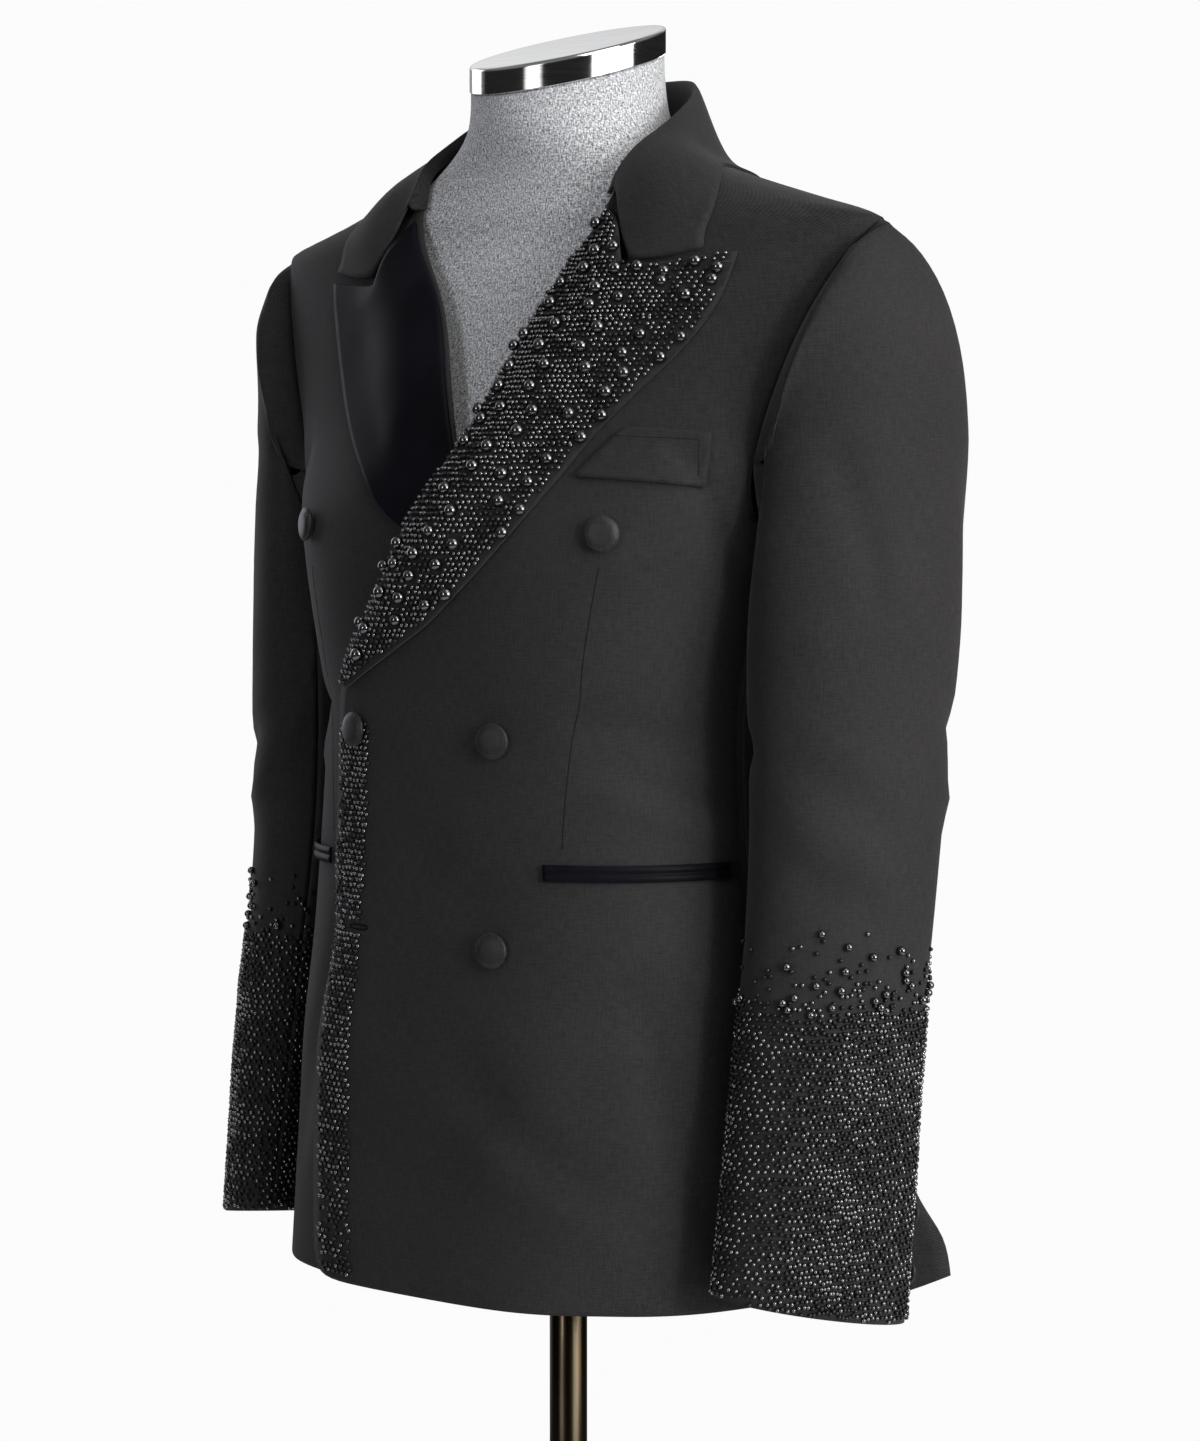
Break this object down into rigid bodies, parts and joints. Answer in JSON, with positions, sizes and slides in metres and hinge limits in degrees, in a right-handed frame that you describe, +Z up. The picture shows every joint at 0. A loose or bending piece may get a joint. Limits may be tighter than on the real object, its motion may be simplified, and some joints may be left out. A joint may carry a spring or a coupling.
{
  "type": "double-breasted dinner jacket on a limbless dress form with a stand",
  "caption": "Double-breasted dinner jacket with one beaded and one satin peak lapel, worn by a linen dress form on a round stand.",
  "frame": {"origin": "centre of the stand's base on the floor", "axes": "+Z up along the pole; the jacket faces -Y and its wearer's left is +X"},
  "size_m": [0.5282, 0.33, 1.606],
  "materials": {
    "twill": "black fine twill, matte",
    "beaded_cloth": "black cloth covered in small glossy beads with larger pearls",
    "satin": "black satin with a soft sheen",
    "button_cloth": "black cloth stretched over a button",
    "linen": "grey heather linen",
    "polished_steel": "polished steel",
    "dark_bronze": "dark bronze, glossy"
  },
  "bodies": {
    "root": {"front_left": "twill", "front_right": "twill", "side_left": "twill", "back_left": "twill", "side_right": "twill", "back_right": "twill", "lapel_left": "beaded_cloth", "lapel_right": "satin", "collar": "twill", "sleeve_top_left": "twill", "sleeve_under_left": "twill", "sleeve_top_right": "twill", "sleeve_under_right": "twill", "chest_welt": "twill", "hip_jets_left": "satin", "hip_jets_right": "satin", "button_top_left": "button_cloth", "button_waist_left": "button_cloth", "button_low_left": "button_cloth", "button_closure": "button_cloth", "button_top_right": "button_cloth", "cuff_button_left_1": "button_cloth", "cuff_button_left_2": "button_cloth", "cuff_button_right_1": "button_cloth", "cuff_button_right_2": "button_cloth", "form_torso": "linen", "neck_cap": "polished_steel", "stand_base": "dark_bronze", "stand_pole": "dark_bronze"}
  },
  "joints": []
}
